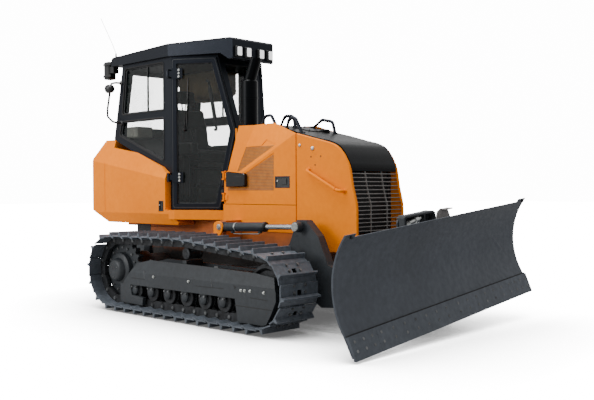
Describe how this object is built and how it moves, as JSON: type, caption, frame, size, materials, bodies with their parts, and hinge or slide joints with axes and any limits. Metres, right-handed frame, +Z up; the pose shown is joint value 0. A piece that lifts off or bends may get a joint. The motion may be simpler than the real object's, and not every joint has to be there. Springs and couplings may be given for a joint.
{
  "type": "bulldozer",
  "caption": "Crawler dozer in orange and charcoal with an enclosed cab, sloping hood, steel tracks and a blade that lifts, angles and tilts on a push frame with working cylinders.",
  "frame": {"origin": "on the ground, at the centre of the machine's outline in plan", "axes": "+X forward towards the blade, +Y to the operator's left, +Z up"},
  "size_m": [4.7256, 2.9725, 3.2921],
  "materials": {
    "body_paint": "gloss orange paint over sheet steel",
    "frame_paint": "satin charcoal paint on welded plate",
    "cab_paint": "satin black paint",
    "track_steel": "dark worn steel, rubbed bright on the edges",
    "edge_steel": "charcoal paint on hardened plate",
    "rod_chrome": "ground and plated cylinder rod",
    "glazing": "green-grey tinted safety glass",
    "seat_fabric": "woven dark seat cover over foam",
    "black_plastic": "moulded black plastic",
    "lamp_glass": "clear lamp lens in a black shell"
  },
  "bodies": {
    "chassis": {"hull": "body_paint", "lower_panels": "body_paint", "track_frame_right": "frame_paint", "track_frame_left": "frame_paint", "track_right": "track_steel", "track_left": "track_steel", "sprockets": "track_steel", "idlers": "track_steel", "rollers": "track_steel", "engine_block": "frame_paint", "drawbar": "frame_paint", "rear_body": "body_paint", "hood_top": "cab_paint", "hood_sides": "body_paint", "grille": "cab_paint", "exhaust_stack": "cab_paint", "grab_rails": "cab_paint", "cab_frame": "cab_paint", "cab_roof": "cab_paint", "cab_glass": "glazing", "seat": "seat_fabric", "consoles": "black_plastic", "work_lamps": "lamp_glass", "mirror": "black_plastic", "antenna": "black_plastic"},
    "door_right": {"door_right": "cab_paint", "door_glass_right": "glazing"},
    "door_left": {"door_left": "cab_paint", "door_glass_left": "glazing"},
    "engine_door_right": {"engine_door_right": "body_paint", "side_cover_right": "black_plastic"},
    "engine_door_left": {"engine_door_left": "body_paint", "side_cover_left": "black_plastic"},
    "push_frame": {"push_frame": "frame_paint"},
    "blade_yoke": {"blade_yoke": "frame_paint"},
    "blade": {"blade": "frame_paint", "cutting_edge": "edge_steel"},
    "tilt_barrel": {"tilt_barrel": "frame_paint"},
    "tilt_rod": {"tilt_rod": "rod_chrome"},
    "lift_barrel_right": {"lift_barrel_right": "frame_paint"},
    "lift_rod_right": {"lift_rod_right": "rod_chrome"},
    "angle_barrel_right": {"angle_barrel_right": "frame_paint"},
    "angle_rod_right": {"angle_rod_right": "rod_chrome"},
    "lift_barrel_left": {"lift_barrel_left": "frame_paint"},
    "lift_rod_left": {"lift_rod_left": "rod_chrome"},
    "angle_barrel_left": {"angle_barrel_left": "frame_paint"},
    "angle_rod_left": {"angle_rod_left": "rod_chrome"}
  },
  "joints": [
    {"name": "push_frame_lift", "type": "hinge", "parent": "chassis", "child": "push_frame", "pos_m": [0, 0, 0.42], "axis": [0, -1, 0], "range_deg": [-13, 20]},
    {"name": "blade_angle", "type": "hinge", "parent": "push_frame", "child": "blade_yoke", "pos_m": [1.879, 0, 0.365], "axis": [0, 0, 1], "range_deg": [-28.66, 21.34]},
    {"name": "blade_tilt", "type": "hinge", "parent": "blade_yoke", "child": "blade", "pos_m": [1.879, 0, 0.365], "axis": [0.998, 0.0638, 0], "range_deg": [-13.67, 4.33]},
    {"name": "lift_barrel_turn_right", "type": "hinge", "parent": "chassis", "child": "lift_barrel_right", "pos_m": [-0.03, -0.633, 0.9], "axis": [0, -1, 0], "range_deg": [-15, 23]},
    {"name": "lift_rod_slide_right", "type": "slide", "parent": "lift_barrel_right", "child": "lift_rod_right", "axis": [0.9996, 0, 0.0291], "range_m": [-0.18, 0.13]},
    {"name": "lift_barrel_turn_left", "type": "hinge", "parent": "chassis", "child": "lift_barrel_left", "pos_m": [-0.03, 0.633, 0.9], "axis": [0, -1, 0], "range_deg": [-15, 23]},
    {"name": "lift_rod_slide_left", "type": "slide", "parent": "lift_barrel_left", "child": "lift_rod_left", "axis": [0.9996, 0, 0.0291], "range_m": [-0.18, 0.13]},
    {"name": "angle_barrel_turn_right", "type": "hinge", "parent": "push_frame", "child": "angle_barrel_right", "pos_m": [1.06, -0.445, 0.577], "axis": [0, 0, 1], "range_deg": [-4, 4]},
    {"name": "angle_rod_slide_right", "type": "slide", "parent": "angle_barrel_right", "child": "angle_rod_right", "axis": [0.9998, -0.0222, 0], "range_m": [-0.235, 0.235]},
    {"name": "angle_barrel_turn_left", "type": "hinge", "parent": "push_frame", "child": "angle_barrel_left", "pos_m": [1.06, 0.445, 0.577], "axis": [0, 0, 1], "range_deg": [-4, 4]},
    {"name": "angle_rod_slide_left", "type": "slide", "parent": "angle_barrel_left", "child": "angle_rod_left", "axis": [0.9995, 0.0328, 0], "range_m": [-0.235, 0.235]},
    {"name": "tilt_barrel_turn", "type": "hinge", "parent": "blade_yoke", "child": "tilt_barrel", "pos_m": [1.96641, -0.39523, 0.76], "axis": [0.998, 0.0638, 0], "range_deg": [-8, 4]},
    {"name": "tilt_rod_slide", "type": "slide", "parent": "tilt_barrel", "child": "tilt_rod", "axis": [-0.0638, 0.998, 0], "range_m": [-0.04, 0.11]},
    {"name": "cab_door_right", "type": "hinge", "parent": "chassis", "child": "door_right", "pos_m": [-0.93, -0.615, 1.8], "axis": [0, 0, -1], "range_deg": [0, 100]},
    {"name": "engine_door_hinge_right", "type": "hinge", "parent": "chassis", "child": "engine_door_right", "pos_m": [-0.268, -0.412, 1.3], "axis": [0, 0, -1], "range_deg": [0, 90]},
    {"name": "cab_door_left", "type": "hinge", "parent": "chassis", "child": "door_left", "pos_m": [-0.93, 0.615, 1.8], "axis": [0, 0, 1], "range_deg": [0, 100]},
    {"name": "engine_door_hinge_left", "type": "hinge", "parent": "chassis", "child": "engine_door_left", "pos_m": [-0.268, 0.412, 1.3], "axis": [0, 0, 1], "range_deg": [0, 90]}
  ],
  "couplings": [
    {"joint": "lift_barrel_turn_right", "follows": "push_frame_lift", "ratio": 1.04},
    {"joint": "lift_rod_slide_right", "follows": "push_frame_lift", "m_per_rad": -0.474},
    {"joint": "lift_barrel_turn_left", "follows": "push_frame_lift", "ratio": 1.04},
    {"joint": "lift_rod_slide_left", "follows": "push_frame_lift", "m_per_rad": -0.474},
    {"joint": "angle_barrel_turn_right", "follows": "blade_angle", "ratio": 0.07},
    {"joint": "angle_rod_slide_right", "follows": "blade_angle", "m_per_rad": 0.455},
    {"joint": "angle_barrel_turn_left", "follows": "blade_angle", "ratio": 0.05},
    {"joint": "angle_rod_slide_left", "follows": "blade_angle", "m_per_rad": -0.457},
    {"joint": "tilt_barrel_turn", "follows": "blade_tilt", "ratio": 0.3988},
    {"joint": "tilt_rod_slide", "follows": "blade_tilt", "m_per_rad": -0.3756}
  ]
}
